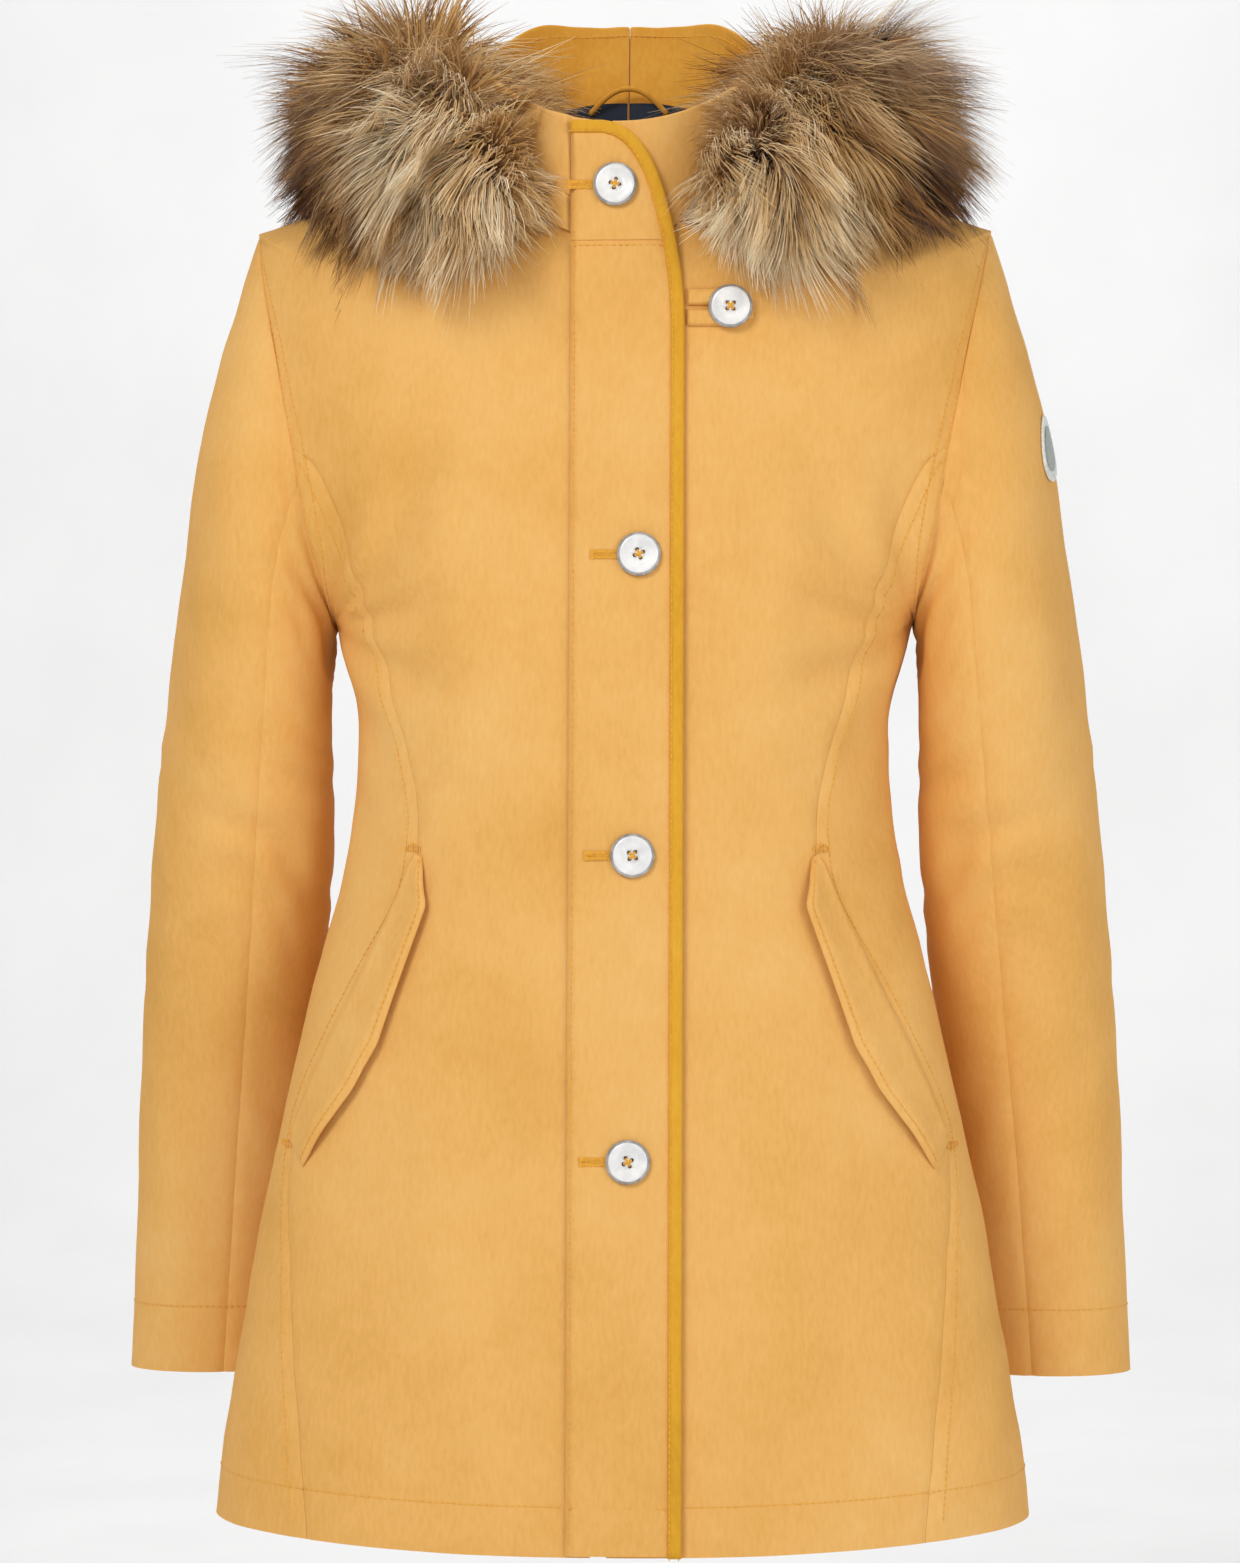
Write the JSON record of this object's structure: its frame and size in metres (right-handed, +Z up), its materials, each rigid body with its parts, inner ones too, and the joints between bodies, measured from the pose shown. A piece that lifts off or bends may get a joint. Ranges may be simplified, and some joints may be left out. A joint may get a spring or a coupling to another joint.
{
  "type": "hooded parka coat",
  "caption": "Thigh-length hooded winter parka with a fur-trimmed hood, buttoned placket over a zip, slanted pocket flaps and set-in sleeves.",
  "frame": {"origin": "at the back-neck hanging point, on the middle line, level with the seam at the back of the neck", "axes": "+Z up as worn or hung, +X to the wearer's left, the front faces -Y"},
  "size_m": [0.588, 0.3606, 0.8706],
  "materials": {
    "shell": "matte cotton-type cloth, golden yellow",
    "binding": "matte cloth, darker mustard",
    "lining": "smooth dark lining",
    "inner": "matte cloth facing",
    "fur": "long soft pile, brown, tan and cream",
    "button": "pearly, polished rim",
    "thread": "sewing thread",
    "tape": "woven tape",
    "metal": "satin",
    "badge": "plain satin patch"
  },
  "bodies": {
    "coat_body": {"front_left": "shell", "side_front_left": "shell", "back_left": "shell", "lining_front_left": "lining", "lining_back_left": "lining", "pocket_bag_left": "inner", "collar_left": "shell", "zip_tape_left": "tape", "zip_teeth_left": "metal", "fur_trim_left": "fur", "front_right": "shell", "side_front_right": "shell", "back_right": "shell", "lining_front_right": "lining", "lining_back_right": "lining", "pocket_bag_right": "inner", "collar_right": "shell", "zip_tape_right": "tape", "zip_teeth_right": "metal", "fur_trim_right": "fur", "button_collar": "button", "button_thread_collar": "thread", "button_chest": "button", "button_thread_chest": "thread", "button_waist": "button", "button_thread_waist": "thread", "button_hip": "button", "button_thread_hip": "thread", "button_throat": "button", "button_thread_throat": "thread", "hem_facing": "inner", "throat_tab": "shell", "hanger_loop": "lining"},
    "placket_flap": {"placket": "shell", "placket_binding": "binding", "collar_tab": "shell"},
    "pocket_flap_left": {"pocket_flap_left": "shell"},
    "sleeve_left": {"sleeve_upper_left": "shell", "sleeve_under_left": "shell", "cuff_facing_left": "inner", "sleeve_lining_left": "lining", "sleeve_badge": "badge"},
    "pocket_flap_right": {"pocket_flap_right": "shell"},
    "sleeve_right": {"sleeve_upper_right": "shell", "sleeve_under_right": "shell", "cuff_facing_right": "inner", "sleeve_lining_right": "lining"},
    "zip_slider": {"zip_slider": "metal", "zip_pull": "metal"},
    "hood": {"hood_pouch": "shell", "fur_trim_back": "fur"}
  },
  "joints": [
    {"name": "placket_open", "type": "hinge", "parent": "coat_body", "child": "placket_flap", "pos_m": [-0.026, -0.12072, -0.39963], "axis": [0, -0.083, -0.9965], "range_deg": [0, 110]},
    {"name": "pocket_flap_left_open", "type": "hinge", "parent": "coat_body", "child": "pocket_flap_left", "pos_m": [0.15132, -0.08619, -0.50218], "axis": [-0.4112, -0.1358, 0.9014], "range_deg": [0, 100]},
    {"name": "pocket_flap_right_open", "type": "hinge", "parent": "coat_body", "child": "pocket_flap_right", "pos_m": [-0.15132, -0.08619, -0.50218], "axis": [-0.4112, 0.1358, -0.9014], "range_deg": [0, 100]},
    {"name": "sleeve_left_raise", "type": "hinge", "parent": "coat_body", "child": "sleeve_left", "pos_m": [0.2105, 0, -0.067], "axis": [0, -1, 0], "range_deg": [0, 80]},
    {"name": "sleeve_right_raise", "type": "hinge", "parent": "coat_body", "child": "sleeve_right", "pos_m": [-0.2105, 0, -0.067], "axis": [0, 1, 0], "range_deg": [0, 80]},
    {"name": "zip_run", "type": "slide", "parent": "coat_body", "child": "zip_slider", "axis": [0, -0.083, -0.9965], "range_m": [0, 0.7]},
    {"name": "hood_lift", "type": "hinge", "parent": "coat_body", "child": "hood", "pos_m": [0, 0.0885, 0.0625], "axis": [1, 0, 0], "range_deg": [0, 75]}
  ]
}
